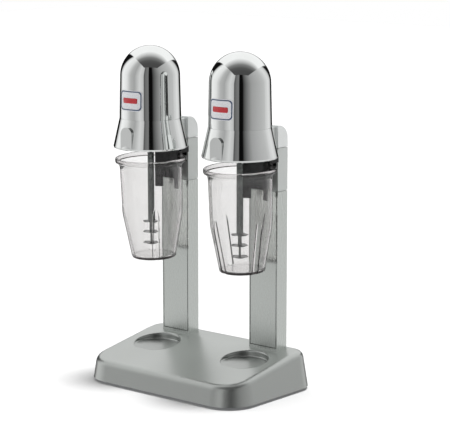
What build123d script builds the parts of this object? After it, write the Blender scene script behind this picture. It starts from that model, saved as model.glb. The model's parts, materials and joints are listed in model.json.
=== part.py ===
"""Twin-head bar drink mixer: motor heads on columns over a wedge-shaped base, each with a clear beaker."""

import math
import os

from build123d import *

os.makedirs("parts", exist_ok=True)

# Driving dimensions, in millimetres. +X is to the right, the front faces -Y, +Z is up from the floor.
HEIGHT = 485.0
HEAD_PITCH = 165.0
HEAD_Y = -7.5

# Base
BASE_FRONT_Y = -95.5
BASE_BACK_Y = 87.5
BASE_FRONT_WIDTH = 284.0
BASE_BACK_WIDTH = 297.0
FRONT_CORNER_R = 45.0
BACK_CORNER_R = 30.0
WALL_DRAFT = 9.0
FOOT_HEIGHT = 4.0
FRONT_SURFACE_Z = 32.0
PLATFORM_Z = 54.0
PLATFORM_SLOPE = 4.0
CREASE_Y = 46.0
ROLLED_EDGE_R = 10.0
SHEET = 1.5
POCKET_R = 34.5
POCKET_Y = 2.5
POCKET_FLOOR_Z = 42.5
POCKET_LIP_R = 3.0
POCKET_CORNER_R = 2.0

# Column and arm housing
COLUMN_WIDTH = 50.6
COLUMN_DEPTH = 22.4
COLUMN_FRONT_Y = 46.0
COLUMN_WALL = 1.5
HOUSING_Z = 286.0
HOUSING_JOINT_Z = 347.0
HOUSING_TOP_Z = 379.0
HOUSING_WALL = 2.0
HOUSING_BACK_R = 20.0
SHADOW_GAP = 1.0

# Bell-shaped head
DOME_R = 43.0
DOME_CENTRE_Z = HEIGHT - DOME_R
DOME_DRAFT = 1.41
CREASE_Z = 381.0
CREASE_R = 44.5
SKIRT_R = 53.5
SKIRT_FLARE_Z = 341.0
SKIRT_BOTTOM_Z = 338.0
SKIN = 1.6
ARCH_WIDTH = 21.0
ARCH_TOP_Z = 371.5
ARCH_FACE_Y = 52.7
BADGE_WIDTH = 40.0
BADGE_HEIGHT = 29.0
BADGE_Z = 409.0
BADGE_THICKNESS = 0.9

# Spindle and agitator discs
SLEEVE_R = 4.75
SLEEVE_END_Z = 231.0
STEM_R = 2.7
PIN_R = 1.5
DISC_R = 11.8
DISC_Z = (229.0, 213.8, 197.6)
TIP_Z = 196.0

# Motor
SHAFT_R = 4.0
SHAFT_TOP_R = 3.0
RUNNING_GAP = 0.05

# Beaker
RIM_Z = 324.0
BEAKER_HEIGHT = 147.0
BEAKER_FOOT_R = 32.5
BEAKER_CREASE_H = 65.0
BEAKER_CREASE_R = 43.8
BEAKER_NECK_R = 45.2
RIM_R = 51.6
BEAKER_WALL = 2.2
FLUTE_R = 6.0
FLUTE_LOW_H = -6.0
FLUTE_LOW_R = BEAKER_FOOT_R + 1.35
FLUTE_HIGH_H = 84.0
FLUTE_HIGH_R = BEAKER_CREASE_R + 7.4
BEAKER_LEAN = 2.25
FLUTE_ANGLE = {"left": -42.6, "right": -17.0}

# Holder and start lever
HOLDER_LIP_Z = 327.6
LEVER_WIDTH = 44.0
LEVER_END_Z = 274.5
LEVER_TOP_Z = 335.0
SHIELD_INNER_R = 40.6
SHIELD_OUTER_R = 42.2
BRIDGE_WIDTH = 26.0
BRIDGE_Z = 328.6
LEVER_PIVOT_Y = 52.0
LEVER_PIVOT_Z = 332.0
TRUNNION_R = 1.5
NOTCH_WIDTH = 23.2
NOTCH_TOP_Z = 288.5
SWITCH_Z = 341.0

# Fixings
BOLT_SPREAD = 15.0
BOLT_SETBACK = 11.2
FOOT_PLACES = ((-112, -62), (112, -62), (-122, 62), (122, 62))
GLAND_Z = 24.0

SIDES = (("left", -1), ("right", 1))
COLUMN_BACK_Y = COLUMN_FRONT_Y + COLUMN_DEPTH
HALF = COLUMN_WIDTH / 2


def block(x0, x1, y0, y1, z0, z1):
    """Box from its limits along each axis."""
    centre = Pos((x0 + x1) / 2, (y0 + y1) / 2, (z0 + z1) / 2)
    return centre * Box(x1 - x0, y1 - y0, z1 - z0)


def rod(x, y, z0, z1, radius):
    """Upright cylinder."""
    return Pos(x, y, (z0 + z1) / 2) * Cylinder(radius, z1 - z0)


def tube(x, y, z0, z1, outer, inner):
    """Upright ring."""
    return rod(x, y, z0, z1, outer) - rod(x, y, z0 - 1, z1 + 1, inner)


def rod_x(y, z, x0, x1, radius):
    """Cylinder along X."""
    return Pos((x0 + x1) / 2, y, z) * Rot(0, 90, 0) * Cylinder(radius, x1 - x0)


def rod_y(x, z, y0, y1, radius):
    """Cylinder along Y."""
    return Pos(x, (y0 + y1) / 2, z) * Rot(90, 0, 0) * Cylinder(radius, y1 - y0)


def turned(points):
    """Solid of revolution about Z from (radius, z) points."""
    face = Plane.XZ * make_face(Polyline(*points, close=True))
    return revolve(face, Axis.Z)


def side_profile(points, x0, x1):
    """Prism along X from (y, z) points."""
    face = Plane.YZ * make_face(Polyline(*points, close=True))
    return Pos(x0, 0, 0) * extrude(face, amount=x1 - x0, dir=(1, 0, 0))


def save(name, *solids):
    """Write one named sub-part, which may hold several separate identical solids."""
    shapes = []
    for item in solids:
        shapes.extend(item.solids())
    whole = shapes[0] if len(shapes) == 1 else Compound(children=shapes)
    whole.label = name
    export_step(whole, f"parts/{name}.step")


# ---------------------------------------------------------------- base


def base_plan(inset):
    """Outline of the base: straight front and back, sides that splay slightly, round corners."""
    front = BASE_FRONT_WIDTH / 2 - inset
    back = BASE_BACK_WIDTH / 2 - inset
    y0 = BASE_FRONT_Y + inset
    y1 = BASE_BACK_Y - inset
    face = make_face(Polyline((-front, y0), (front, y0), (back, y1), (-back, y1), close=True))
    face = fillet([v for v in face.vertices() if v.Y < y0 + 0.01], FRONT_CORNER_R - inset)
    return fillet([v for v in face.vertices() if v.Y > y1 - 0.01], BACK_CORNER_R - inset)


def space_over_base(inset):
    """Everything above the base's top: a slope up to the crease, then a flatter platform."""
    beyond = 30
    slope = (PLATFORM_Z - FRONT_SURFACE_Z) / (CREASE_Y - BASE_FRONT_Y)
    y0 = BASE_FRONT_Y - beyond
    y1 = BASE_BACK_Y + beyond
    low = FRONT_SURFACE_Z - inset - beyond * slope
    top = PLATFORM_Z - inset
    high = top + (y1 - CREASE_Y) * math.tan(math.radians(PLATFORM_SLOPE))
    section = make_face(Polyline((y0, low), (CREASE_Y, top), (y1, high), (y1, 140), (y0, 140), close=True))
    bend = [v for v in section.vertices() if abs(v.X - CREASE_Y) < 0.1 and abs(v.Y - top) < 0.1]
    section = fillet(bend, 90)
    return Pos(-200, 0, 0) * extrude(Plane.YZ * section, amount=400, dir=(1, 0, 0))


def base_form(inset):
    """Solid wedge: drafted walls, sloped top, rolled top edge."""
    floor = FOOT_HEIGHT if inset == 0 else FOOT_HEIGHT - 1
    body = Pos(0, 0, floor) * extrude(base_plan(inset), amount=80, taper=WALL_DRAFT)
    body = body - space_over_base(inset)
    rim = []
    for edge in body.edges():
        middle = edge @ 0.5
        low = min((edge @ 0.0).Z, (edge @ 1.0).Z)
        crosses = abs((edge @ 0.0).X + (edge @ 1.0).X) < 0.01 and abs(middle.X) < 0.01
        at_crease = crosses and abs(middle.Y - CREASE_Y) < 20
        if low > 20 and not at_crease:
            rim.append(edge)
    return fillet(rim, ROLLED_EDGE_R - inset)


def bolt_places(x):
    """Centres of the two bolts under one column."""
    return [(x + dx, COLUMN_FRONT_Y + BOLT_SETBACK) for dx in (-BOLT_SPREAD, BOLT_SPREAD)]


def pocket_edges(body, x, low, high):
    """Edges on the wall of the round pocket centred at x, between two levels."""
    found = []
    for edge in body.edges():
        middle = edge @ 0.5
        reach = math.hypot(middle.X - x, middle.Y - POCKET_Y)
        if abs(reach - POCKET_R) < 0.05 and low < middle.Z < high:
            found.append(edge)
    return found


def with_pocket(body, x):
    """Round pocket with a level floor, a rounded corner around the floor and a rounded lip."""
    body = body - rod(x, POCKET_Y, POCKET_FLOOR_Z, 90, POCKET_R)
    body = fillet(pocket_edges(body, x, POCKET_FLOOR_Z - 0.1, POCKET_FLOOR_Z + 0.1), POCKET_CORNER_R)
    return fillet(pocket_edges(body, x, POCKET_FLOOR_Z + POCKET_CORNER_R + 0.1, 90), POCKET_LIP_R)


def base_shell():
    """Pressed sheet shell with two round pockets, bolt holes and the gland's hole."""
    shell = base_form(0)
    inner = base_form(SHEET)
    for _, sign in SIDES:
        x = sign * HEAD_PITCH / 2
        shell = with_pocket(shell, x)
        inner = inner - rod(x, POCKET_Y, POCKET_FLOOR_Z - SHEET, 90, POCKET_R + SHEET)
        for bolt_x, bolt_y in bolt_places(x):
            shell = shell - rod(bolt_x, bolt_y, 40, 70, 3.2)
    return shell - inner - rod_y(0, GLAND_Z, 60, 100, 6.3)


def base_bottom_plate():
    """Flat plate that closes the base from below, with four holes for the feet."""
    plate = Pos(0, 0, FOOT_HEIGHT + 0.4) * extrude(base_plan(3.0), amount=1.5)
    for foot_x, foot_y in FOOT_PLACES:
        plate = plate - rod(foot_x, foot_y, 0, 10, 3.0)
    return plate


def rubber_foot(x, y):
    """Push-in foot: round pad, stem through the plate and retaining head."""
    plate_z = FOOT_HEIGHT + 0.4
    pad = rod(x, y, 0, plate_z, 10)
    stem = rod(x, y, plate_z, plate_z + 1.5, 3.0)
    return pad + stem + rod(x, y, plate_z + 1.5, plate_z + 4.0, 4.5)


def cable_gland():
    """Gland through the back wall, bored for a supply cable."""
    body = rod_y(0, GLAND_Z, 70, 86.4, 6.0)
    body = body + Pos(0, 92.4, GLAND_Z) * extrude(Plane.XZ * RegularPolygon(9.5, 6), amount=6)
    body = body + rod_y(0, GLAND_Z, 92.4, 95.5, 7.0)
    body = body + Pos(0, 76, GLAND_Z) * extrude(Plane.XZ * RegularPolygon(9.0, 6), amount=4)
    return body - rod_y(0, GLAND_Z, 60, 100, 3.4)


# ---------------------------------------------------------------- column


def column(x, base):
    """Channel with a welded foot plate, open at the front."""
    top = HOUSING_Z - SHADOW_GAP
    channel = block(x - HALF, x + HALF, COLUMN_FRONT_Y, COLUMN_BACK_Y, PLATFORM_Z - 4, top)
    inside = HALF - COLUMN_WALL
    back = COLUMN_BACK_Y - COLUMN_WALL
    channel = channel - block(x - inside, x + inside, COLUMN_FRONT_Y - 1, back, PLATFORM_Z + 4, 400)
    for bolt_x, bolt_y in bolt_places(x):
        channel = channel - rod(bolt_x, bolt_y, 40, 70, 3.2)
    return channel - base


def column_front(x):
    """Plate between the channel's sides, with three tabs behind it and a shadow gap all round."""
    inside = HALF - COLUMN_WALL
    half = inside - SHADOW_GAP
    bottom = PLATFORM_Z + 4 + SHADOW_GAP
    back = COLUMN_FRONT_Y + 1.2
    front = block(x - half, x + half, COLUMN_FRONT_Y, back, bottom, HOUSING_Z - SHADOW_GAP)
    for level in (80, 180, 276):
        front = front + block(x - inside, x + inside, back, back + 1.4, level - 5, level + 5)
    return front


def column_bolt(x, y):
    """Bolt up through the base and the column's foot plate, with its nut."""
    under = PLATFORM_Z - SHEET - 0.2
    over = PLATFORM_Z + 4
    bolt = rod(x, y, under, over + 6, 3.0)
    head = Pos(x, y, under - 4) * extrude(RegularPolygon(5.4, 6), amount=4)
    nut = Pos(x, y, over) * extrude(RegularPolygon(5.4, 6), amount=4.5)
    return bolt + head + nut


# ---------------------------------------------------------------- bell-shaped head


def bell(x, grow):
    """Solid dome with drafted sides, grown outward by the given amount."""
    radius = DOME_R + grow
    angle = math.radians(DOME_DRAFT)
    touch_r = radius * math.cos(angle)
    touch_z = DOME_CENTRE_Z + radius * math.sin(angle)
    foot_r = touch_r + (touch_z - CREASE_Z) * math.tan(angle)
    arc_middle = math.radians(45 + DOME_DRAFT / 2)
    middle = (radius * math.cos(arc_middle), DOME_CENTRE_Z + radius * math.sin(arc_middle))
    top = (0, DOME_CENTRE_Z + radius)
    outline = Polyline(top, (0, CREASE_Z), (foot_r, CREASE_Z), (touch_r, touch_z))
    outline = outline + ThreePointArc((touch_r, touch_z), middle, top)
    return Pos(x, HEAD_Y, 0) * revolve(Plane.XZ * make_face(outline), Axis.Z)


def skirt_solid(x, grow):
    """Solid flare under the dome, grown outward by the given amount."""
    low = SKIRT_BOTTOM_Z - (2 if grow > 0 else 0)
    points = [
        (0, low),
        (SKIRT_R - 2.0 + grow, low),
        (SKIRT_R - 0.6 + grow, SKIRT_BOTTOM_Z + 0.9),
        (SKIRT_R + grow, SKIRT_FLARE_Z),
        (CREASE_R + grow, CREASE_Z),
        (0, CREASE_Z),
    ]
    return Pos(x, HEAD_Y, 0) * turned(points)


def dome(x):
    """Chromed upper shell of the bell, rebated inside its lower edge."""
    shell = bell(x, 0) - bell(x, -SKIN)
    shell = shell - rod(x, HEAD_Y, CREASE_Z - 10, CREASE_Z + 0.4, 60)
    return shell - rod(x, HEAD_Y, CREASE_Z - 1, CREASE_Z + 5, 42.8)


def skirt(x):
    """Chromed lower shell: spigot into the dome, straight flare, rounded lip, arch at the front."""
    shell = Pos(x, HEAD_Y, 0) * turned(
        [
            (CREASE_R, CREASE_Z),
            (42.7, CREASE_Z),
            (42.7, CREASE_Z + 5),
            (41.2, CREASE_Z + 5),
            (41.2, CREASE_Z - 2),
            (CREASE_R - SKIN, CREASE_Z - 4),
            (SKIRT_R - SKIN, SKIRT_FLARE_Z),
            (SKIRT_R - 2.8, SKIRT_BOTTOM_Z + 0.8),
            (SKIRT_R - 2.0, SKIRT_BOTTOM_Z),
            (SKIRT_R - 0.6, SKIRT_BOTTOM_Z + 0.9),
            (SKIRT_R, SKIRT_FLARE_Z),
        ]
    )
    half = ARCH_WIDTH / 2
    front = HEAD_Y - ARCH_FACE_Y
    arch = block(x - half, x + half, front, HEAD_Y - 40, SKIRT_BOTTOM_Z + 1.6, ARCH_TOP_Z - half)
    arch = arch + rod_y(x, ARCH_TOP_Z - half, front, HEAD_Y - 40, half)
    shell = shell + (arch - skirt_solid(x, 0))
    return shell - block(x - 14.4, x + 14.4, HEAD_Y + 30, HEAD_Y + 60, 354.6, 361.4)


def badge(x):
    """Plain rounded plate that follows the dome's front."""
    half_w = BADGE_WIDTH / 2
    half_h = BADGE_HEIGHT / 2
    plate = block(x - half_w, x + half_w, HEAD_Y - 60, HEAD_Y - 20, BADGE_Z - half_h, BADGE_Z + half_h)
    plate = fillet(plate.edges().filter_by(Axis.Y), 6)
    return (plate & bell(x, BADGE_THICKNESS)) - bell(x, 0)


def under_cover(x):
    """Black disc that closes the bell from below, with the spindle's seal collar."""
    cover = tube(x, HEAD_Y, 341, 344, 50.2, 5.6)
    cover = cover + tube(x, HEAD_Y, 335.5, 341, 9.0, 5.6)
    cover = cover + tube(x, HEAD_Y, 344, 345, 12.0, 5.6)
    for k in range(3):
        turn = math.radians(30 + 120 * k)
        cover = cover + rod(x + 36 * math.cos(turn), HEAD_Y + 36 * math.sin(turn), 344, 348, 4)
    return cover


# ---------------------------------------------------------------- arm


def arm_housing(x):
    """Lower half of the arm: open box with a window for the start lever and a spigot into the column."""
    box = block(x - HALF, x + HALF, COLUMN_FRONT_Y, COLUMN_BACK_Y, HOUSING_Z, HOUSING_JOINT_Z)
    half = HALF - HOUSING_WALL
    front = COLUMN_FRONT_Y + HOUSING_WALL
    box = box - block(x - half, x + half, front, COLUMN_BACK_Y - HOUSING_WALL, 280, 360)
    window = BRIDGE_WIDTH / 2 + 0.6
    box = box - block(x - window, x + window, COLUMN_FRONT_Y - 1, front + 1, BRIDGE_Z - 1.6, LEVER_TOP_Z + 2)
    reach = HALF - COLUMN_WALL - RUNNING_GAP
    inner_y = COLUMN_BACK_Y - COLUMN_WALL - RUNNING_GAP
    spigot = block(x - reach, x + reach, COLUMN_FRONT_Y + 1.5, inner_y, HOUSING_Z - 4, HOUSING_Z + 1.5)
    space = block(x - reach + 1.5, x + reach - 1.5, front + 1, inner_y - 1.5, HOUSING_Z - 5, HOUSING_Z + 2)
    box = box + (spigot - space)
    pivot_r = TRUNNION_R + RUNNING_GAP
    box = box - rod_x(LEVER_PIVOT_Y, LEVER_PIVOT_Z, x - 24.6, x + 24.6, pivot_r)
    return box - bell(x, 0.4) - skirt_solid(x, 0.4)


def round_backed(x, inset, bottom):
    """Block as wide and deep as the arm with its top back edge rounded, shrunk by the inset."""
    y0 = COLUMN_FRONT_Y + inset
    y1 = COLUMN_BACK_Y - inset
    body = block(x - HALF + inset, x + HALF - inset, y0, y1, bottom, HOUSING_TOP_Z - inset)
    edge = body.edges().filter_by(Axis.X).sort_by(lambda e: (e @ 0.5).Y + (e @ 0.5).Z)[-1]
    return fillet(edge, HOUSING_BACK_R - inset)


def arm_cap(x):
    """Upper half of the arm: round-backed cover with a short hollow neck and two locating lugs."""
    bottom = HOUSING_JOINT_Z + SHADOW_GAP
    cap = round_backed(x, 0, bottom) - round_backed(x, HOUSING_WALL, 300)
    front = COLUMN_FRONT_Y + HOUSING_WALL + 1
    neck = block(x - 20, x + 20, 20, COLUMN_FRONT_Y + 1, 349, 376)
    passage = block(x - 17, x + 17, 19, front, 352, 373)
    cap = (cap + neck) - passage
    wall = HALF - HOUSING_WALL
    for side in (-1, 1):
        near = x + side * (wall - 1.2)
        far = x + side * (wall - RUNNING_GAP)
        root = x + side * (wall + 0.5)
        cap = cap + block(min(near, far), max(near, far), 50, 60, HOUSING_JOINT_Z - 5, bottom + 3)
        cap = cap + block(min(near, root), max(near, root), 50, 60, bottom + 0.5, bottom + 3)
    return cap - bell(x, 0.4) - skirt_solid(x, 0.4)


def arm_bracket(x):
    """Cast bracket that carries the motor: back flange, level arm, bearing ring and two posts."""
    back = COLUMN_BACK_Y - HOUSING_WALL
    plate = back - 3.5
    arm = block(x - 14, x + 14, HEAD_Y + 20, plate, 355, 361)
    arm = arm + block(x - 20, x + 20, plate, back, 322, 345)
    arm = arm + block(x - 14, x + 14, plate, back, 345, 358.5)
    arm = arm + rod(x, HEAD_Y, 355, 361, 33)
    for dx in (-27, 27):
        arm = arm + rod(x + dx, HEAD_Y, 361, 374, 3.6)
    return arm - rod(x, HEAD_Y, 350, 365, 11)


# ---------------------------------------------------------------- motor


def stator(x):
    """Laminated stack with two flats and four windows for the coils."""
    stack = tube(x, HEAD_Y, 374, 402, 31, 16.4)
    for sx in (-1, 1):
        for sy in (-1, 1):
            window = Pos(x + sx * 22, HEAD_Y + sy * 14, 388) * Box(7.4, 6.4, 40)
            stack = stack - window
        stack = stack - Pos(x + sx * 34.4, HEAD_Y, 388) * Box(10, 80, 40)
    return stack


def field_coil(x, sign):
    """Rectangular coil through two windows of the stack."""
    middle = x + sign * 22
    loop = block(middle - 3.5, middle + 3.5, HEAD_Y - 17, HEAD_Y + 17, 366.5, 409.5)
    loop = loop - block(middle - 4, middle + 4, HEAD_Y - 11, HEAD_Y + 11, 373.7, 402.3)
    return loop - rod(x + sign * 27, HEAD_Y, 360, 374, 4.2)


def armature(x):
    """Slotted core with winding ends above and below."""
    core = tube(x, HEAD_Y, 373, 403, 15.8, SHAFT_R)
    for k in range(12):
        turn = math.radians(30 * k)
        core = core - rod(x + 14.6 * math.cos(turn), HEAD_Y + 14.6 * math.sin(turn), 370, 406, 1.9)
    core = core + tube(x, HEAD_Y, 403, 411, 12.4, SHAFT_R)
    return core + tube(x, HEAD_Y, 365, 373, 12.4, SHAFT_R)


def commutator(x):
    """Copper drum cut into sixteen bars."""
    drum = tube(x, HEAD_Y, 415, 429, 10, SHAFT_R)
    for k in range(16):
        slot = block(9.1, 11, -0.25, 0.25, 416, 430)
        drum = drum - Pos(x, HEAD_Y, 0) * (Rot(0, 0, 22.5 * k) * slot)
    return drum


def motor_shaft(x):
    """Shaft, thinner where it meets the upper bearing."""
    return rod(x, HEAD_Y, 344, 432, SHAFT_R) + rod(x, HEAD_Y, 432, 446, SHAFT_TOP_R)


def fan(x):
    """Cooling fan: hub, plate and nine straight vanes."""
    wheel = tube(x, HEAD_Y, 346, 353, 7, SHAFT_R) + tube(x, HEAD_Y, 346, 347.2, 29, SHAFT_R)
    for k in range(9):
        vane = block(6, 28.5, -0.7, 0.7, 346.5, 353)
        wheel = wheel + Pos(x, HEAD_Y, 0) * (Rot(0, 0, 40 * k) * vane)
    return wheel


def across_axis(x, half_width, near, far, sign, z0, z1):
    """Block in front of or behind the motor's axis, from near to far along Y."""
    ends = sorted((HEAD_Y + sign * near, HEAD_Y + sign * far))
    return block(x - half_width, x + half_width, ends[0], ends[1], z0, z1)


def brush_bridge(x):
    """Moulded bridge: bearing seat on two posts, with a tube for each brush."""
    bridge = tube(x, HEAD_Y, 436, 442, 32, 9.5)
    for sign in (-1, 1):
        bridge = bridge + rod(x, HEAD_Y + sign * 27, 402, 436, 3.0)
        bridge = bridge + across_axis(x, 5, 11, 27, sign, 416, 428)
        bridge = bridge + across_axis(x, 5, 20, 27, sign, 428, 436)
        bridge = bridge - across_axis(x, 3, 9, 22, sign, 419, 425)
    return bridge


def carbon_brush(x, sign):
    """Square carbon brush in its tube, just clear of the commutator."""
    return across_axis(x, 3, 10.3, 22, sign, 419, 425)


# ---------------------------------------------------------------- spindle


def spindle(x):
    """Thick sleeve, then a stem and a thin pin that carry the discs, with a small end button."""
    rods = rod(x, HEAD_Y, SLEEVE_END_Z, 344, SLEEVE_R)
    rods = rods + rod(x, HEAD_Y, DISC_Z[1], SLEEVE_END_Z, STEM_R)
    rods = rods + rod(x, HEAD_Y, TIP_Z, DISC_Z[1], PIN_R)
    return rods + rod(x, HEAD_Y, TIP_Z, DISC_Z[2], 2.6)


def agitator_disc(x, z, bore):
    """Dished disc with a small hub."""
    hub = bore + 2.0
    bend = DISC_R * 0.6
    points = [
        (bore, z),
        (hub, z),
        (bend, z + 1.1),
        (DISC_R, z - 0.4),
        (DISC_R, z + 0.6),
        (bend, z + 2.1),
        (hub, z + 1.4),
        (bore, z + 1.4),
    ]
    return Pos(x, HEAD_Y, 0) * turned(points)


# ---------------------------------------------------------------- beaker


def beaker_outside():
    """Outer form of the beaker standing on z = 0."""
    h = BEAKER_HEIGHT
    points = [
        (0, 0),
        (BEAKER_FOOT_R - 2.0, 0),
        (BEAKER_FOOT_R - 0.4, 1.0),
        (BEAKER_FOOT_R + 0.1, 3.0),
        (BEAKER_CREASE_R, BEAKER_CREASE_H),
        (BEAKER_NECK_R, h - 12.5),
        (48.2, h - 7.0),
        (RIM_R - 1.2, h - 6.6),
        (RIM_R, h - 5.2),
        (RIM_R, h - 2.4),
        (RIM_R - 0.8, h - 0.6),
        (RIM_R - 2.0, h),
        (0, h),
    ]
    return turned(points)


def beaker_inside():
    """Space inside the beaker."""
    h = BEAKER_HEIGHT
    points = [
        (0, 3.2),
        (BEAKER_FOOT_R - 4.0, 3.2),
        (BEAKER_FOOT_R - BEAKER_WALL, 5.2),
        (BEAKER_CREASE_R - BEAKER_WALL, BEAKER_CREASE_H),
        (BEAKER_NECK_R - BEAKER_WALL, h - 12.0),
        (47.2, h - 5.4),
        (47.9, h + 1),
        (0, h + 1),
    ]
    return turned(points)


def flute_tool(angle, radius):
    """Slanted cylinder that presses a flute into the tapered wall and runs out above it."""
    low = Vector(FLUTE_LOW_R * math.cos(angle), FLUTE_LOW_R * math.sin(angle), FLUTE_LOW_H)
    high = Vector(FLUTE_HIGH_R * math.cos(angle), FLUTE_HIGH_R * math.sin(angle), FLUTE_HIGH_H)
    length = (high - low).length
    plane = Plane(origin=low, z_dir=high - low)
    return plane * (Pos(0, 0, length / 2) * Cylinder(radius, length))


def beaker(x, first_angle):
    """Clear beaker with four flutes, hung by its rim and leaning back slightly."""
    space = beaker_inside()
    outside = beaker_outside()
    for k in range(4):
        angle = math.radians(first_angle + 90 * k)
        space = space - flute_tool(angle, FLUTE_R + BEAKER_WALL)
        outside = outside - flute_tool(angle, FLUTE_R)
    hung = Pos(0, 0, -BEAKER_HEIGHT) * (outside - space)
    return Pos(x, HEAD_Y, RIM_Z) * (Rot(BEAKER_LEAN, 0, 0) * hung)


def beaker_holder(x):
    """Black holder: thin wall behind the rim and two lips over it, one each side of the start lever."""
    lips = block(x - 26.5, x + 26.5, 30, COLUMN_FRONT_Y, HOLDER_LIP_Z, 336.4)
    lips = lips - rod(x, HEAD_Y, 300, 340, 45.6)
    gap = BRIDGE_WIDTH / 2 + 0.8
    lips = lips - block(x - gap, x + gap, 20, 50, HOLDER_LIP_Z, 340)
    wall = block(x - 22.5, x + 22.5, COLUMN_FRONT_Y - 1.1, COLUMN_FRONT_Y, 313.4, BRIDGE_Z - 1.0)
    return lips + wall


# ---------------------------------------------------------------- start lever


def start_lever(x):
    """Curved shield inside the beaker's back wall, carried over the rim to a pivot in the arm."""
    half = LEVER_WIDTH / 2
    shield = tube(x, HEAD_Y, LEVER_END_Z, LEVER_TOP_Z, SHIELD_OUTER_R, SHIELD_INNER_R)
    shield = shield & block(x - half, x + half, 0, 60, 200, 400)
    notch = NOTCH_WIDTH / 2
    shield = shield - block(x - notch, x + notch, 0, 60, 200, NOTCH_TOP_Z)
    wide = BRIDGE_WIDTH / 2
    bridge = block(x - wide, x + wide, HEAD_Y + 35, LEVER_PIVOT_Y, BRIDGE_Z, LEVER_TOP_Z)
    bridge = bridge - rod(x, HEAD_Y, 300, 340, SHIELD_INNER_R)
    barrel = rod_x(LEVER_PIVOT_Y, LEVER_PIVOT_Z, x - 22.5, x + 22.5, 3.0)
    trunnions = rod_x(LEVER_PIVOT_Y, LEVER_PIVOT_Z, x - 24.3, x + 24.3, TRUNNION_R)
    finger = block(x - 5, x + 5, LEVER_PIVOT_Y + 0.6, LEVER_PIVOT_Y + 2.8, LEVER_PIVOT_Z, SWITCH_Z + 3)
    return shield + bridge + barrel + trunnions + finger


def microswitch(x):
    """Switch behind the lever's finger, with its plunger."""
    front = LEVER_PIVOT_Y + 5.0
    body = block(x - 10, x + 10, front, front + 5.8, SWITCH_Z - 6, SWITCH_Z + 5.5)
    return body + rod_y(x, SWITCH_Z, LEVER_PIVOT_Y + 3.8, front, 1.6)


# ---------------------------------------------------------------- write every sub-part


save("base_shell", base_shell())
save("base_bottom_plate", base_bottom_plate())
save("rubber_feet", *[rubber_foot(foot_x, foot_y) for foot_x, foot_y in FOOT_PLACES])
save("cable_gland", cable_gland())

base_solid = base_form(0)
bolts = []
for side, sign in SIDES:
    x = sign * HEAD_PITCH / 2
    bolts.extend(column_bolt(bolt_x, bolt_y) for bolt_x, bolt_y in bolt_places(x))
    save(f"column_{side}", column(x, base_solid))
    save(f"column_front_{side}", column_front(x))
    save(f"arm_housing_{side}", arm_housing(x))
    save(f"arm_cap_{side}", arm_cap(x))
    save(f"arm_bracket_{side}", arm_bracket(x))
    save(f"dome_{side}", dome(x))
    save(f"skirt_{side}", skirt(x))
    save(f"badge_{side}", badge(x))
    save(f"under_cover_{side}", under_cover(x))
    save(f"stator_{side}", stator(x))
    save(f"field_coils_{side}", field_coil(x, -1), field_coil(x, 1))
    save(f"armature_{side}", armature(x))
    save(f"commutator_{side}", commutator(x))
    save(f"motor_shaft_{side}", motor_shaft(x))
    save(f"fan_{side}", fan(x))
    save(f"lower_bearing_{side}", tube(x, HEAD_Y, 355, 361, 11, SHAFT_R + RUNNING_GAP))
    save(f"upper_bearing_{side}", tube(x, HEAD_Y, 436, 442, 9.5, SHAFT_TOP_R + RUNNING_GAP))
    save(f"brush_bridge_{side}", brush_bridge(x))
    save(f"carbon_brushes_{side}", carbon_brush(x, -1), carbon_brush(x, 1))
    save(f"spindle_{side}", spindle(x))
    save(f"agitator_upper_{side}", agitator_disc(x, DISC_Z[0], STEM_R))
    save(f"agitator_middle_{side}", agitator_disc(x, DISC_Z[1], STEM_R))
    save(f"agitator_lower_{side}", agitator_disc(x, DISC_Z[2], PIN_R))
    save(f"beaker_{side}", beaker(x, FLUTE_ANGLE[side]))
    save(f"beaker_holder_{side}", beaker_holder(x))
    save(f"start_lever_{side}", start_lever(x))
    save(f"microswitch_{side}", microswitch(x))
save("column_screws", *bolts)
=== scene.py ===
"""Looks of the twin-head drink mixer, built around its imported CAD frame. Lengths are in metres."""

import json
import math

import bmesh
import bpy
from mathutils import Matrix, Vector
from mathutils.bvhtree import BVHTree


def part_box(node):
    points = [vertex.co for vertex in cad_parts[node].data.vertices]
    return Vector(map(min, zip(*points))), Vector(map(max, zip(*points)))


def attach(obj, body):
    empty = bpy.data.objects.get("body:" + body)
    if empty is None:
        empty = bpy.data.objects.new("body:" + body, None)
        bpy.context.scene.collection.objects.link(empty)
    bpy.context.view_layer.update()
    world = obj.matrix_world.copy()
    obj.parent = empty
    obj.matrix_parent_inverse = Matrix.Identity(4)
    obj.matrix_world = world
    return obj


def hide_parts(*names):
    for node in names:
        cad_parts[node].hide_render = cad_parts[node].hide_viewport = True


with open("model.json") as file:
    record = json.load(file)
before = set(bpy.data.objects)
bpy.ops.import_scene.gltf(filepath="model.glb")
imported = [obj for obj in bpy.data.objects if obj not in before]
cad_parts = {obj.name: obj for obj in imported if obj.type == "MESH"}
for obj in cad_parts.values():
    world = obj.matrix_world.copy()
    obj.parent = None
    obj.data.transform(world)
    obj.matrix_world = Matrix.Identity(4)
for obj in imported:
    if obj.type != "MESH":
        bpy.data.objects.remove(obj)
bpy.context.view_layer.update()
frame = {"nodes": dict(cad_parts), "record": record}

NODES = frame["nodes"]
SIDES = ("left", "right")
MM = 0.001

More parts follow.
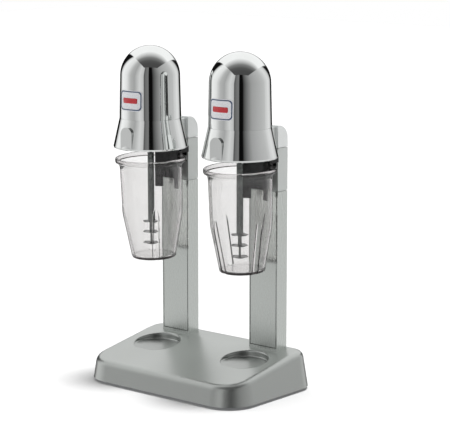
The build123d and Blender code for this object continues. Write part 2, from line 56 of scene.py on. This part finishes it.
# Clear beaker. Each outline is (radius, height above its foot, corner rounding), in millimetres
BEAKER_HEIGHT = 147.0
BEAKER_LEAN = 2.25
BEAKER_OUTSIDE = (
    (0.0, 0.0, 0.0),
    (32.2, 0.0, 2.6),
    (32.9, 4.0, 2.0),
    (43.8, 65.0, 5.0),
    (45.2, 134.5, 4.0),
    (47.6, 140.2, 1.2),
    (51.5, 140.4, 2.6),
    (51.6, 146.9, 2.4),
    (48.0, 146.9, 1.0),
)
BEAKER_INSIDE = (
    (46.9, 141.2, 3.0),
    (43.0, 134.8, 4.0),
    (41.6, 65.0, 5.0),
    (30.4, 5.2, 2.0),
    (28.6, 3.2, 2.0),
    (0.0, 3.2, 0.0),
)
BEAKER_WALL = 2.2
RIM_Z = 324.0
CORNER_STEPS = 5
LOOP_SPACING = 1.6
CREASE_ANGLE = 24

# Flutes of the beaker: slanted cylinders whose axes lean outwards, in millimetres and degrees
FLUTE_R = 6.0
FLUTE_LOW_H = -6.0
FLUTE_LOW_R = 33.85
FLUTE_HIGH_H = 84.0
FLUTE_HIGH_R = 51.2
FLUTE_TOP_LIMIT = 90.0
FLUTE_START_ANGLE = {"left": -42.6, "right": -17.0}

# Mesh points round the beaker: across each flute and along the wall between two flutes. Above a flute's point
# its own points spread out from a narrow strip to a wide one, over the fade height.
FLUTE_STEPS = 16
WALL_STEPS = 34
NARROW_HALF_ANGLE = 0.3
WIDENING_HALF_ANGLE = 12
FADE_HEIGHT = 25.0

# Agitator discs: shares of the disc's outer radius or height, and millimetres
DISC_HOLE_SHARE = 0.13
DISC_MIDDLE_SHARE = 0.45
DISC_THICKNESS = 0.9
DISC_EDGE_SHARE = 0.35
DISC_WAVES = 4
DISC_WAVE_HEIGHT = 0.45
DISC_WAVE_SHIFT = 0.9
DISC_RINGS = 12
DISC_STEPS = 96

# Badge trim, in millimetres: insets of the border's two edges, its corners, and how far the trim stands proud
BORDER_OUTER_INSET = 0.9
BORDER_INNER_INSET = 2.4
BORDER_CORNER_R = 5.1
BORDER_RISE = 0.18
BAND_WIDTH_SHARE = 0.66
BAND_HEIGHT_SHARE = 0.26
BAND_CORNER_R = 2.0
BAND_RISE = 0.16
TRIM_ROOT = -0.1
TRIM_SPACING = 1.5

# Rays that find the badge's face start this far in front of it, in metres
RAY_START = 0.1

# Camera: its place in metres, the way it faces in degrees, and its lens in millimetres
CAMERA_AZIMUTH = 39.17
CAMERA_PITCH = 10.57
CAMERA_PLACE = (1.6131, -1.9190, 0.7021)
CAMERA_LENS = 142.8

# Studio walls: brightness by direction in degrees, where 0 is behind the camera and 90 is to its right
WALL_TONES = (
    (-180, 1.0),
    (-174, 1.0),
    (-171, 0.006),
    (-143, 0.006),
    (-136, 0.80),
    (-125, 1.10),
    (-98, 0.95),
    (-78, 0.56),
    (-60, 0.46),
    (-38, 0.80),
    (-24, 0.66),
    (-21, 0.08),
    (-17, 0.18),
    (-5, 0.24),
    (-3, 0.004),
    (9.5, 0.004),
    (13.5, 0.08),
    (43, 0.42),
    (62, 0.50),
    (95, 0.62),
    (122, 0.90),
    (138, 0.75),
    (146, 0.01),
    (171, 0.01),
    (174, 1.0),
    (180, 1.0),
)

# The two dark gaps beside the back wall widen towards the ceiling, and reach no further than this direction
GAP_FLARE = 0.25
GAP_END = 170

# Studio ceiling: its tones from the back, at 0, to the front, at 1
CEILING_TONES = (
    (0.42, 1.12),
    (0.50, 0.66),
    (0.56, 0.25),
    (0.63, 0.115),
    (0.70, 0.085),
    (0.82, 0.08),
    (1.0, 0.07),
)

# The ceiling's three edges: each is (up, front, side), and a direction is under it where all are above 0
CEILING_EDGES = (
    (0.655, -0.125, 0.744),
    (0.700, -0.122, -0.549),
    (0.620, -0.432, 0.0),
)

# How sharply the ceiling's edges turn into wall
EDGE_TONES = ((0.495, 0.0), (0.515, 1.0))

# The studio darkens to a low band along the foot of the back wall, and brightens again below the horizon
LOW_BAND_TONES = ((0.12, 0.10), (0.30, 1.0))
BELOW_TONES = ((0.22, 0.0), (0.34, 1.0))
BELOW_BRIGHTNESS = 0.80
FLOOR_HALF = 6.0


# ---------------------------------------------------------------- shader helpers


def new_material(name):
    """Material with an empty principled shader: returns (material, node tree, shader)."""
    material = bpy.data.materials.new(name)
    material.use_nodes = True
    tree = material.node_tree
    return material, tree, tree.nodes["Principled BSDF"]


def add(tree, kind, **settings):
    """New shader node with its settings."""
    node = tree.nodes.new(kind)
    for key, value in settings.items():
        setattr(node, key, value)
    return node


def math_node(tree, operation, first, second=None, third=None):
    """Math node fed by sockets or numbers; returns its output."""
    node = add(tree, "ShaderNodeMath", operation=operation)
    for index, value in enumerate((first, second, third)):
        if value is None:
            continue
        if isinstance(value, (int, float)):
            node.inputs[index].default_value = value
        else:
            tree.links.new(value, node.inputs[index])
    return node.outputs[0]


def ramp(tree, factor, stops):
    """Colour ramp over (position, brightness or colour) stops; returns its colour output."""
    node = add(tree, "ShaderNodeValToRGB")
    elements = node.color_ramp.elements
    while len(elements) < len(stops):
        elements.new(0.5)
    for element, (position, value) in zip(elements, stops):
        element.position = position
        colour = (value, value, value) if isinstance(value, (int, float)) else value
        element.color = (*colour, 1.0)
    tree.links.new(factor, node.inputs["Fac"])
    return node.outputs["Color"]


def noise(tree, scale, stretch=(1, 1, 1), detail=4.0):
    """Noise in object space, stretched along the axes; returns its factor."""
    place = add(tree, "ShaderNodeTexCoord")
    mapping = add(tree, "ShaderNodeMapping")
    mapping.inputs["Scale"].default_value = stretch
    texture = add(tree, "ShaderNodeTexNoise")
    texture.inputs["Scale"].default_value = scale
    texture.inputs["Detail"].default_value = detail
    tree.links.new(place.outputs["Object"], mapping.inputs["Vector"])
    tree.links.new(mapping.outputs["Vector"], texture.inputs["Vector"])
    return texture.outputs["Fac"]


def bump(tree, shader, height, strength, distance):
    """Bump from a height socket."""
    node = add(tree, "ShaderNodeBump")
    node.inputs["Strength"].default_value = strength
    node.inputs["Distance"].default_value = distance
    tree.links.new(height, node.inputs["Height"])
    tree.links.new(node.outputs["Normal"], shader.inputs["Normal"])


def vary_colour(tree, shader, factor, colour, amount, span=(0.3, 0.7)):
    """Base colour that wavers between a darker and a lighter version of a colour."""
    dark = tuple(c * (1 - amount) for c in colour)
    light = tuple(min(1.0, c * (1 + amount)) for c in colour)
    tree.links.new(ramp(tree, factor, [(span[0], dark), (span[1], light)]), shader.inputs["Base Color"])


def vary_roughness(tree, shader, factor, roughness, amount, span=(0.3, 0.7)):
    """Roughness that wavers about a value."""
    smooth = roughness - amount
    rough = roughness + amount
    tree.links.new(ramp(tree, factor, [(span[0], smooth), (span[1], rough)]), shader.inputs["Roughness"])


# ---------------------------------------------------------------- materials


def brushed_steel(name, colour, stretch, roughness, metallic=1.0):
    """Stainless sheet with fine parallel grain and faint cloudy patches."""
    material, tree, shader = new_material(name)
    grain = noise(tree, 1.0, stretch, 6.0)
    cloud = noise(tree, 14.0, (1, 1, 1), 3.0)
    mixed = math_node(tree, "MULTIPLY_ADD", cloud, 0.35, math_node(tree, "MULTIPLY", grain, 0.65))
    vary_colour(tree, shader, mixed, colour, 0.025)
    vary_roughness(tree, shader, grain, roughness, 0.03, (0.25, 0.75))
    shader.inputs["Metallic"].default_value = metallic
    bump(tree, shader, grain, 0.03, 0.00002)
    return material


def chrome(name):
    """Mirror plating with the faintest orange peel and wiping haze."""
    material, tree, shader = new_material(name)
    haze = noise(tree, 40.0, (1, 1, 0.25), 4.0)
    tint = ramp(tree, haze, [(0.3, (0.745, 0.76, 0.75)), (0.7, (0.79, 0.805, 0.80))])
    tree.links.new(tint, shader.inputs["Base Color"])
    vary_roughness(tree, shader, haze, 0.055, 0.02, (0.35, 0.75))
    shader.inputs["Metallic"].default_value = 1.0
    bump(tree, shader, noise(tree, 90.0), 0.02, 0.00005)
    return material


def silver_paint(name, colour, roughness):
    """Satin silver paint with metallic flake."""
    material, tree, shader = new_material(name)
    flake = noise(tree, 2200.0, (1, 1, 1), 2.0)
    vary_colour(tree, shader, flake, colour, 0.07, (0.35, 0.65))
    vary_roughness(tree, shader, flake, roughness, 0.05)
    shader.inputs["Metallic"].default_value = 0.35
    shader.inputs["Coat Weight"].default_value = 0.25
    shader.inputs["Coat Roughness"].default_value = 0.2
    bump(tree, shader, flake, 0.05, 0.00003)
    return material


def moulded_plastic(name, colour, roughness, shine=0.5):
    """Moulded plastic with a fine spark-eroded grain."""
    material, tree, shader = new_material(name)
    grain = noise(tree, 1500.0, (1, 1, 1), 3.0)
    vary_colour(tree, shader, grain, colour, 0.2)
    vary_roughness(tree, shader, grain, roughness, 0.06)
    shader.inputs["Specular IOR Level"].default_value = shine
    bump(tree, shader, grain, 0.15, 0.00005)
    return material


def plain_metal(name, colour, roughness):
    """Machined or cast metal with slight mottling."""
    material, tree, shader = new_material(name)
    mottle = noise(tree, 350.0, (1, 1, 1), 4.0)
    vary_colour(tree, shader, mottle, colour, 0.12)
    vary_roughness(tree, shader, mottle, roughness, 0.05)
    shader.inputs["Metallic"].default_value = 1.0
    bump(tree, shader, mottle, 0.06, 0.00005)
    return material


def clear_plastic(name):
    """Clear polycarbonate with a faint grey body tint that deepens where it is seen edge on."""
    material, tree, shader = new_material(name)
    haze = noise(tree, 60.0, (1, 1, 1), 3.0)
    tint = ramp(tree, haze, [(0.3, (0.965, 0.97, 0.965)), (0.7, (0.985, 0.99, 0.985))])
    tree.links.new(tint, shader.inputs["Base Color"])
    tree.links.new(ramp(tree, haze, [(0.4, 0.01), (0.8, 0.035)]), shader.inputs["Roughness"])
    shader.inputs["Transmission Weight"].default_value = 1.0
    shader.inputs["IOR"].default_value = 1.45
    shader.inputs["Specular IOR Level"].default_value = 0.16
    body = add(tree, "ShaderNodeVolumeAbsorption")
    body.inputs["Color"].default_value = (0.40, 0.36, 0.365, 1.0)
    body.inputs["Density"].default_value = 105.0
    tree.links.new(body.outputs["Volume"], tree.nodes["Material Output"].inputs["Volume"])
    return material


def build_materials():
    """One material for each slot of the record, and a few for trim."""
    base_grain = (60, 2600, 900)
    column_grain = (2600, 2600, 50)
    base = brushed_steel("base_brushed_steel", (0.445, 0.463, 0.448), base_grain, 0.31, 0.92)
    column = brushed_steel("column_brushed_steel", (0.655, 0.685, 0.66), column_grain, 0.27)
    black = moulded_plastic("black_moulded_plastic", (0.007, 0.008, 0.0085), 0.30, 0.3)
    return {
        "base_steel": base,
        "column_steel": column,
        "chrome": chrome("chrome_plating"),
        "light_housing": silver_paint("housing_silver_paint", (0.62, 0.645, 0.63), 0.36),
        "light_cap": silver_paint("cap_silver_paint", (0.85, 0.872, 0.863), 0.36),
        "clear_plastic": clear_plastic("clear_polycarbonate"),
        "black_plastic": black,
        "rubber": moulded_plastic("black_rubber", (0.02, 0.02, 0.02), 0.75),
        "badge": moulded_plastic("badge_silver", (0.80, 0.81, 0.85), 0.3),
        "badge_blue": moulded_plastic("badge_blue_enamel", (0.055, 0.09, 0.17), 0.25),
        "badge_red": moulded_plastic("badge_red_enamel", (0.56, 0.035, 0.045), 0.25),
        "cast_aluminium": plain_metal("cast_aluminium", (0.55, 0.56, 0.57), 0.5),
        "stator_steel": plain_metal("motor_laminations", (0.22, 0.23, 0.25), 0.5),
        "copper": plain_metal("enamelled_copper", (0.62, 0.27, 0.12), 0.35),
        "motor_steel": plain_metal("ground_steel", (0.58, 0.59, 0.60), 0.22),
        "spindle_steel": plain_metal("wet_polished_steel", (0.095, 0.102, 0.099), 0.07),
        "fan_plastic": moulded_plastic("fan_plastic", (0.05, 0.06, 0.09), 0.45),
        "carbon": moulded_plastic("brush_carbon", (0.03, 0.03, 0.032), 0.6),
        "plate_steel": plain_metal("zinc_plate", (0.40, 0.41, 0.42), 0.45),
        "bolt_steel": plain_metal("zinc_bolts", (0.55, 0.55, 0.53), 0.35),
    }


# Nodes whose finish differs from that of their slot
SPECIAL_FINISH = {"arm_cap": "light_cap", "spindle": "spindle_steel"}


def dress_cad_nodes(materials):
    """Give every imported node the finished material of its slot."""
    for entry in frame["record"]["subparts"]:
        name = entry["node"]
        finish = SPECIAL_FINISH.get(name.rsplit("_", 1)[0], entry["material_slot"])
        for slot in NODES[name].material_slots:
            slot.material = materials[finish]


# ---------------------------------------------------------------- mesh helpers


def new_piece(name, mesh_builder, material, body, replaced=None):
    """Finished smooth object from a bmesh; it rides on a body and may stand for a CAD node."""
    mesh = bpy.data.meshes.new(name)
    bmesh.ops.recalc_face_normals(mesh_builder, faces=mesh_builder.faces)
    mesh_builder.to_mesh(mesh)
    mesh_builder.free()
    for polygon in mesh.polygons:
        polygon.use_smooth = True
    mesh.materials.append(material)
    piece = bpy.data.objects.new(name, mesh)
    bpy.context.scene.collection.objects.link(piece)
    if replaced:
        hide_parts(replaced)
    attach(piece, body)
    return piece


def bridge(builder, loops, closed):
    """Quads between successive vertex loops, and from the last to the first when closed."""
    count = len(loops)
    for k in range(count if closed else count - 1):
        here = loops[k]
        there = loops[(k + 1) % count]
        for i in range(len(here)):
            j = (i + 1) % len(here)
            builder.faces.new((here[i], here[j], there[j], there[i]))


def rounded_outline(points, steps):
    """Path through (x, y, rounding) corners, each corner replaced by a short curve."""
    path = []
    for k, (x, y, rounding) in enumerate(points):
        corner = Vector((x, y))
        if rounding == 0 or k in (0, len(points) - 1):
            path.append(corner)
            continue
        before = Vector(points[k - 1][:2]) - corner
        after = Vector(points[k + 1][:2]) - corner
        start = corner + before.normalized() * min(rounding, before.length * 0.49)
        end = corner + after.normalized() * min(rounding, after.length * 0.49)
        for step in range(steps + 1):
            t = step / steps
            path.append(start * (1 - t) ** 2 + corner * 2 * t * (1 - t) + end * t**2)
    return path


def finely(path, longest):
    """The path with extra points, so that no run is longer than the given length."""
    fine = [path[0]]
    for here, there in zip(path, path[1:]):
        count = max(1, math.ceil((there - here).length / longest))
        for step in range(1, count + 1):
            fine.append(here.lerp(there, step / count))
    return fine


# ---------------------------------------------------------------- beaker


def flute_axis(height):
    """Distance of a flute's slanted axis from the beaker's axis at a height."""
    share = (height - FLUTE_LOW_H) / (FLUTE_HIGH_H - FLUTE_LOW_H)
    return FLUTE_LOW_R + (FLUTE_HIGH_R - FLUTE_LOW_R) * share


def flute_half_angle(radius, height, flute_r):
    """Half the angle that a flute takes of the wall at a height, or 0 above its point."""
    axis_r = flute_axis(height)
    cosine = (radius**2 + axis_r**2 - flute_r**2) / (2 * radius * axis_r)
    return math.acos(min(1.0, cosine))


def wall_loop(radius, height, first, flute_r, fade):
    """(x, y) points round the wall at a height, with points exactly on the flutes' edges.

    A flute_r of 0 leaves the wall round. The fade runs from 0 at the flutes' points to 1 well above them.
    """
    half = flute_half_angle(radius, height, flute_r)
    strip = max(half, math.radians(NARROW_HALF_ANGLE + WIDENING_HALF_ANGLE * fade))
    axis_r = flute_axis(height)
    points = []
    for quarter in range(4):
        middle = first + quarter * math.pi / 2
        for step in range(FLUTE_STEPS):
            turn = strip * (2 * step / FLUTE_STEPS - 1)
            across = axis_r * math.sin(turn)
            reach = radius
            if abs(turn) < half:
                reach = axis_r * math.cos(turn) - math.sqrt(max(0.0, flute_r**2 - across**2))
            points.append((reach * math.cos(middle + turn), reach * math.sin(middle + turn)))
        for step in range(WALL_STEPS):
            turn = strip + (math.pi / 2 - 2 * strip) * step / WALL_STEPS
            points.append((radius * math.cos(middle + turn), radius * math.sin(middle + turn)))
    return points


def build_beaker(side, material):
    """Clear beaker: fluted tapered cup with a rounded bead around its rim, hung with a slight lean."""
    spindle_low, spindle_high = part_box(f"spindle_{side}")
    centre = (spindle_low + spindle_high) / 2
    lean = Matrix.Rotation(math.radians(BEAKER_LEAN), 4, "X")
    rim = Vector((centre.x, centre.y, RIM_Z * MM))
    first = math.radians(FLUTE_START_ANGLE[side])
    outside = finely(rounded_outline(BEAKER_OUTSIDE, CORNER_STEPS)[1:], LOOP_SPACING)
    inside = finely(rounded_outline(BEAKER_INSIDE, CORNER_STEPS)[:-1], LOOP_SPACING)
    builder = bmesh.new()
    loops = []
    for path, flute_r in ((outside, FLUTE_R), (inside, FLUTE_R + BEAKER_WALL)):
        fluted = [p.y for p in path if p.y < FLUTE_TOP_LIMIT and flute_half_angle(p.x, p.y, flute_r) > 0]
        top = max(fluted)
        for point in path:
            fade = min(1.0, max(0.0, (point.y - top) / FADE_HEIGHT))
            used_r = flute_r if point.y <= top else 0.0
            loop = []
            for x, y in wall_loop(point.x, min(point.y, FLUTE_TOP_LIMIT), first, used_r, fade):
                here = Vector((x, y, point.y - BEAKER_HEIGHT)) * MM
                loop.append(builder.verts.new(lean @ here + rim))
            loops.append(loop)
    bridge(builder, loops, False)
    for loop, level in ((loops[0], BEAKER_OUTSIDE[0][1]), (loops[-1], BEAKER_INSIDE[-1][1])):
        hub = builder.verts.new(lean @ Vector((0, 0, (level - BEAKER_HEIGHT) * MM)) + rim)
        for i, here in enumerate(loop):
            builder.faces.new((here, loop[(i + 1) % len(loop)], hub))
    node_name = f"beaker_{side}"
    piece = new_piece(f"clear_beaker_{side}", builder, material, node_name, node_name)
    piece.data.set_sharp_from_angle(angle=math.radians(CREASE_ANGLE))


# ---------------------------------------------------------------- agitator discs


def build_disc(node_name, side, phase, material):
    """Flat disc with a wavy rim around the spindle."""
    low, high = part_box(node_name)
    centre = (low + high) / 2
    outer = (high.x - low.x) / 2
    hole = outer * DISC_HOLE_SHARE
    middle_z = low.z + (high.z - low.z) * DISC_MIDDLE_SHARE
    builder = bmesh.new()
    loops = []
    for face_sign in (1, -1):
        for k in range(DISC_RINGS + 1)[::face_sign]:
            share = k / DISC_RINGS
            radius = hole + (outer - hole) * share
            edge = DISC_EDGE_SHARE if k == DISC_RINGS else 1.0
            loop = []
            for step in range(DISC_STEPS):
                angle = 2 * math.pi * step / DISC_STEPS
                wave = DISC_WAVE_HEIGHT * MM * share**2 * math.sin(DISC_WAVES * angle + phase)
                x = centre.x + radius * math.cos(angle)
                y = centre.y + radius * math.sin(angle)
                z = middle_z + wave + face_sign * edge * DISC_THICKNESS * MM / 2
                loop.append(builder.verts.new((x, y, z)))
            loops.append(loop)
    bridge(builder, loops, True)
    new_piece(f"wavy_{node_name}", builder, material, f"rotor_{side}", node_name)


# ---------------------------------------------------------------- badge trim


def rounded_rectangle(half_w, half_h, radius, steps):
    """Points round a rectangle with round corners, anticlockwise."""
    points = []
    for k, (sx, sy) in enumerate(((1, 1), (-1, 1), (-1, -1), (1, -1))):
        for step in range(steps + 1):
            angle = math.pi / 2 * (k + step / steps)
            x = sx * (half_w - radius) + radius * math.cos(angle)
            y = sy * (half_h - radius) + radius * math.sin(angle)
            points.append((x, y))
    return points


def badge_loops(builder, bvh, centre, outlines):
    """Loops laid on the badge's curved face: each outline is (points, height above the face)."""
    loops = []
    for points, rise in outlines:
        loop = []
        for x, z in points:
            start = Vector((centre.x + x * MM, centre.y - RAY_START, centre.z + z * MM))
            hit, normal, _, _ = bvh.ray_cast(start, Vector((0, 1, 0)))
            loop.append(builder.verts.new(hit + normal * rise * MM))
        loops.append(loop)
    return loops


def dense(points, longest):
    """Closed outline with extra points on its long sides."""
    fine = []
    for k, here in enumerate(points):
        there = points[(k + 1) % len(points)]
        run = math.dist(here, there)
        count = max(1, math.ceil(run / longest))
        for step in range(count):
            t = step / count
            fine.append((here[0] + (there[0] - here[0]) * t, here[1] + (there[1] - here[1]) * t))
    return fine


def build_badge_trim(side, materials):
    """Raised blue border and plain red band on the badge."""
    bvh = BVHTree.FromObject(NODES[f"badge_{side}"], bpy.context.evaluated_depsgraph_get())
    low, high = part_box(f"badge_{side}")
    centre = (low + high) / 2
    half_w = (high.x - low.x) / 2 / MM
    half_h = (high.z - low.z) / 2 / MM

    outer_w = half_w - BORDER_OUTER_INSET
    outer_h = half_h - BORDER_OUTER_INSET
    shrink_w = (half_w - BORDER_INNER_INSET) / outer_w
    shrink_h = (half_h - BORDER_INNER_INSET) / outer_h
    wide = dense(rounded_rectangle(outer_w, outer_h, BORDER_CORNER_R, 8), TRIM_SPACING)
    narrow = [(x * shrink_w, y * shrink_h) for x, y in wide]
    outlines = ((wide, TRIM_ROOT), (wide, BORDER_RISE), (narrow, BORDER_RISE), (narrow, TRIM_ROOT))
    builder = bmesh.new()
    bridge(builder, badge_loops(builder, bvh, centre, outlines), True)
    new_piece(f"badge_border_{side}", builder, materials["badge_blue"], "stand")

    band_shape = rounded_rectangle(half_w * BAND_WIDTH_SHARE, half_h * BAND_HEIGHT_SHARE, BAND_CORNER_R, 5)
    band = dense(band_shape, TRIM_SPACING)
    outlines = [(band, TRIM_ROOT), (band, BAND_RISE)]
    for share in (0.8, 0.6, 0.4, 0.2):
        outlines.append(([(x * share, y * share) for x, y in band], BAND_RISE))
    builder = bmesh.new()
    loops = badge_loops(builder, bvh, centre, outlines)
    bridge(builder, loops, False)
    builder.faces.new(loops[-1])
    builder.faces.new(loops[0])
    new_piece(f"badge_band_{side}", builder, materials["badge_red"], "stand")


# ---------------------------------------------------------------- studio


def multiply_add(tree, first, second, third):
    """First times second plus third."""
    return math_node(tree, "MULTIPLY_ADD", first, second, third)


def mix_colours(tree, factor, first, second, blend="MIX"):
    """Mix of two colours, each a socket or a brightness; returns its colour output."""
    node = add(tree, "ShaderNodeMix", data_type="RGBA", blend_type=blend)
    if isinstance(factor, float):
        node.inputs["Factor"].default_value = factor
    else:
        tree.links.new(factor, node.inputs["Factor"])
    for name, value in (("A", first), ("B", second)):
        if isinstance(value, float):
            node.inputs[name].default_value = (value, value, value, 1.0)
        else:
            tree.links.new(value, node.inputs[name])
    return node.outputs["Result"]


def studio_directions(tree):
    """Sockets for how far a direction points up, towards the camera, and to the camera's right."""
    place = add(tree, "ShaderNodeTexCoord")
    split = add(tree, "ShaderNodeSeparateXYZ")
    tree.links.new(place.outputs["Generated"], split.inputs[0])
    east, north, up = split.outputs
    sin_a = math.sin(math.radians(CAMERA_AZIMUTH))
    cos_a = math.cos(math.radians(CAMERA_AZIMUTH))
    front = multiply_add(tree, east, sin_a, math_node(tree, "MULTIPLY", north, -cos_a))
    side = multiply_add(tree, east, cos_a, math_node(tree, "MULTIPLY", north, sin_a))
    return up, front, side


def studio_walls(tree, up, front, side):
    """Upright bright and dark stretches of wall; the dark gaps beside the back wall widen upwards."""
    angle = math_node(tree, "ARCTAN2", side, front)
    around = math_node(tree, "ABSOLUTE", angle)
    raised = multiply_add(tree, math_node(tree, "MAXIMUM", up, 0.0), GAP_FLARE, 1.0)
    flared = math_node(tree, "MINIMUM", math_node(tree, "MULTIPLY", around, raised), math.radians(GAP_END))
    around = math_node(tree, "MAXIMUM", around, flared)
    around = math_node(tree, "MULTIPLY", around, math_node(tree, "SIGN", angle))
    turn = multiply_add(tree, around, 0.5 / math.pi, 0.5)
    return ramp(tree, turn, [((degrees + 180) / 360, tone) for degrees, tone in WALL_TONES])


def studio_ceiling(tree, up, front):
    """Ceiling that is bright over the back and dark over the front, above a dark low band."""
    depth = math_node(tree, "DIVIDE", front, math_node(tree, "MAXIMUM", up, 0.05))
    ceiling = ramp(tree, multiply_add(tree, depth, 0.25, 0.5), CEILING_TONES)
    low_band = ramp(tree, math_node(tree, "MAXIMUM", up, 0.0), LOW_BAND_TONES)
    return mix_colours(tree, 1.0, ceiling, low_band, "MULTIPLY")


def under_ceiling(tree, up, front, side):
    """1 where a direction is under the ceiling and 0 where it meets the walls."""
    inside = None
    for up_part, front_part, side_part in CEILING_EDGES:
        edge = math_node(tree, "MULTIPLY", up, up_part)
        edge = multiply_add(tree, front, front_part, edge)
        edge = multiply_add(tree, side, side_part, edge)
        inside = edge if inside is None else math_node(tree, "MINIMUM", inside, edge)
    return ramp(tree, math_node(tree, "ADD", inside, 0.5), EDGE_TONES)


def studio_world():
    """Soft studio: bright walls with narrow dark gaps, and a graded ceiling. Seen directly it is white."""
    world = bpy.data.worlds.new("studio")
    bpy.context.scene.world = world
    world.use_nodes = True
    tree = world.node_tree
    up, front, side = studio_directions(tree)
    walls = studio_walls(tree, up, front, side)
    ceiling = studio_ceiling(tree, up, front)
    room = mix_colours(tree, under_ceiling(tree, up, front, side), walls, ceiling)
    below = ramp(tree, math_node(tree, "MULTIPLY", up, -1.0), BELOW_TONES)
    room = mix_colours(tree, below, room, BELOW_BRIGHTNESS)
    path = add(tree, "ShaderNodeLightPath")
    seen = math_node(tree, "MAXIMUM", path.outputs["Is Camera Ray"], path.outputs["Is Transmission Ray"])
    tree.links.new(mix_colours(tree, seen, room, 1.0), tree.nodes["Background"].inputs["Color"])


def studio_floor():
    """Pale floor sheet with a soft mottle, under the feet."""
    mesh = bpy.data.meshes.new("studio_floor")
    corners = [(x * FLOOR_HALF, y * FLOOR_HALF, 0) for x, y in ((-1, -1), (1, -1), (1, 1), (-1, 1))]
    mesh.from_pydata(corners, [], [(0, 1, 2, 3)])
    floor = bpy.data.objects.new("studio_floor", mesh)
    bpy.context.scene.collection.objects.link(floor)
    material, tree, shader = new_material("pale_floor")
    tone = ramp(tree, noise(tree, 3.0), [(0.3, 0.785), (0.7, 0.805)])
    tree.links.new(tone, shader.inputs["Base Color"])
    shader.inputs["Roughness"].default_value = 0.9
    shader.inputs["Specular IOR Level"].default_value = 0.0
    mesh.materials.append(material)
    floor.visible_glossy = False


def sun_light(name, elevation, azimuth, strength, softness):
    """Soft directional light, placed by its elevation and its direction round the object from the front."""
    data = bpy.data.lights.new(name, "SUN")
    data.energy = strength
    data.angle = math.radians(softness)
    light = bpy.data.objects.new(name, data)
    light.rotation_euler = (math.radians(90 - elevation), 0, math.radians(azimuth))
    light.visible_glossy = False
    light.visible_transmission = False
    bpy.context.scene.collection.objects.link(light)


def studio_camera():
    """Camera at the viewing angle, level from side to side."""
    data = bpy.data.cameras.new("camera")
    data.sensor_width = 36.0
    data.lens = CAMERA_LENS
    data.clip_end = 50.0
    camera = bpy.data.objects.new("camera", data)
    camera.location = CAMERA_PLACE
    camera.rotation_euler = (math.radians(90 - CAMERA_PITCH), 0, math.radians(CAMERA_AZIMUTH))
    bpy.context.scene.collection.objects.link(camera)
    bpy.context.scene.camera = camera


# ---------------------------------------------------------------- put together

materials = build_materials()
dress_cad_nodes(materials)
studio_world()
studio_floor()
for side in SIDES:
    build_beaker(side, materials["clear_plastic"])
    build_badge_trim(side, materials)
    for index, level in enumerate(("upper", "middle", "lower")):
        phase = index * DISC_WAVE_SHIFT
        build_disc(f"agitator_{level}_{side}", side, phase, materials["spindle_steel"])
sun_light("key", elevation=80, azimuth=150, strength=2.5, softness=10)
studio_camera()
bpy.context.scene.view_settings.view_transform = "Standard"
